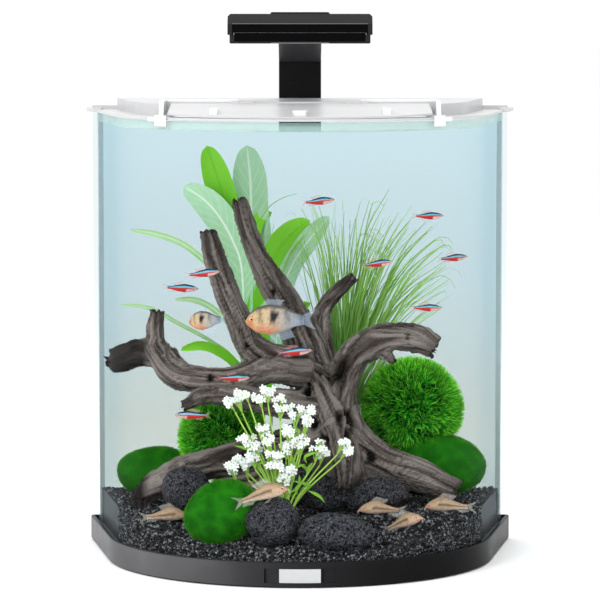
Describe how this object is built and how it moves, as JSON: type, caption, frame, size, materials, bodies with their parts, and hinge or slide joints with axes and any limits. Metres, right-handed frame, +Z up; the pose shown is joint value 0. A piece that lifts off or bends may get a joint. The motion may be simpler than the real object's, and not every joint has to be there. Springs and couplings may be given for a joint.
{
  "type": "glass aquarium tank",
  "caption": "Half-moon glass aquarium with black base tray, clear lid with feeding flap, clamp-on tilting lamp, and a planted gravel bed with driftwood.",
  "frame": {"origin": "centre of the footprint, on the plane the feet stand on", "axes": "+X to the right seen from the front, +Z up, the bowed front pane faces -Y"},
  "size_m": [0.398, 0.302, 0.4951],
  "materials": {
    "tray": "satin moulded black plastic",
    "badge": "satin plate, blank",
    "foot_rubber": "matt rubber",
    "foam": "closed-cell foam",
    "glass": "clear float glass",
    "silicone": "clear silicone",
    "gravel": "dark grain with pale specks",
    "driftwood": "weathered grey-brown root",
    "lava": "porous dark stone",
    "moss": "soft green moss plant",
    "plant": "soft leaf plant",
    "post": "satin moulded black plastic",
    "pad": "soft pad",
    "pin_steel": "plain pin",
    "screw_steel": "plated screw",
    "neck": "satin dark grey plastic",
    "lamp_case": "satin black plastic",
    "switch": "satin dark button",
    "slat": "glossy black",
    "board": "white coated metal board",
    "driver": "driver block",
    "lens": "clear window",
    "lid_clear": "clear moulded plastic",
    "lid_trim": "milky clear plastic",
    "flap_clear": "clear moulded plastic",
    "flap_trim": "milky clear plastic"
  },
  "bodies": {
    "tank": {"base_frame": "tray", "badge_plate": "badge", "rubber_foot_1": "foot_rubber", "rubber_foot_2": "foot_rubber", "rubber_foot_3": "foot_rubber", "rubber_foot_4": "foot_rubber", "inner_pad": "foot_rubber", "foam_mat": "foam", "floor_pane": "glass", "front_pane": "glass", "back_pane": "glass", "seam_floor": "silicone", "seam_left": "silicone", "seam_right": "silicone", "gravel_bed": "gravel", "driftwood": "driftwood", "lava_stone_1": "lava", "lava_stone_2": "lava", "lava_stone_3": "lava", "lava_stone_4": "lava", "lava_stone_5": "lava", "moss_ball_left": "moss", "moss_ball_right": "moss", "moss_stone_left": "moss", "moss_stone_front": "moss", "moss_stone_right": "moss", "sword_plant": "plant", "grass_plant": "plant", "flower_plant": "plant", "lamp_post": "post", "post_cover": "post", "cable_gland": "post", "tilt_pin": "pin_steel"},
    "lamp": {"lamp_neck": "neck", "lamp_shell": "lamp_case", "lamp_tray": "lamp_case", "lamp_screw_left": "screw_steel", "lamp_screw_right": "screw_steel", "switch_bezel": "lamp_case", "slat_upper": "slat", "slat_lower": "slat", "led_board": "board", "lamp_driver": "driver", "lamp_lens": "lens"},
    "switch": {"switch_button": "switch"},
    "clamp_pad": {"clamp_pad": "pad"},
    "clamp_knob": {"clamp_screw": "post"},
    "lid": {"lid_panel": "lid_clear", "hinge_bar_left": "lid_trim", "hinge_bar_right": "lid_trim", "lid_strap_left": "lid_trim", "lid_strap_right": "lid_trim", "lid_clip_left": "lid_trim", "lid_clip_right": "lid_trim", "hinge_pin_left": "pin_steel", "hinge_pin_right": "pin_steel"},
    "flap": {"feeding_flap": "flap_clear", "flap_tab": "flap_trim", "flap_bracket_left": "flap_trim", "flap_bracket_right": "flap_trim"}
  },
  "joints": [
    {"name": "lamp_tilt", "type": "hinge", "parent": "tank", "child": "lamp", "pos_m": [0, 0.128, 0.4485], "axis": [-1, 0, 0], "range_deg": [0, 75]},
    {"name": "switch_press", "type": "slide", "parent": "lamp", "child": "switch", "axis": [0, 0, -1], "range_m": [0, 0.0008], "stiffness_N_per_m": 600},
    {"name": "clamp_pad_slide", "type": "slide", "parent": "tank", "child": "clamp_pad", "axis": [0, 1, 0], "range_m": [0, 0.002]},
    {"name": "clamp_screw_turn", "type": "hinge", "parent": "clamp_pad", "child": "clamp_knob", "pos_m": [0, 0.14, 0.3956], "axis": [0, 1, 0], "range_deg": [-480, 0]},
    {"name": "lid_slide", "type": "slide", "parent": "tank", "child": "lid", "axis": [0, -0.9781, 0.2079], "range_m": [0, 0.3]},
    {"name": "flap_hinge", "type": "hinge", "parent": "lid", "child": "flap", "pos_m": [0, -0.0105, 0.4134], "axis": [-1, 0, 0], "range_deg": [0, 65]}
  ],
  "couplings": [
    {"joint": "clamp_screw_turn", "follows": "clamp_pad_slide", "rad_per_m": -4188.8}
  ]
}
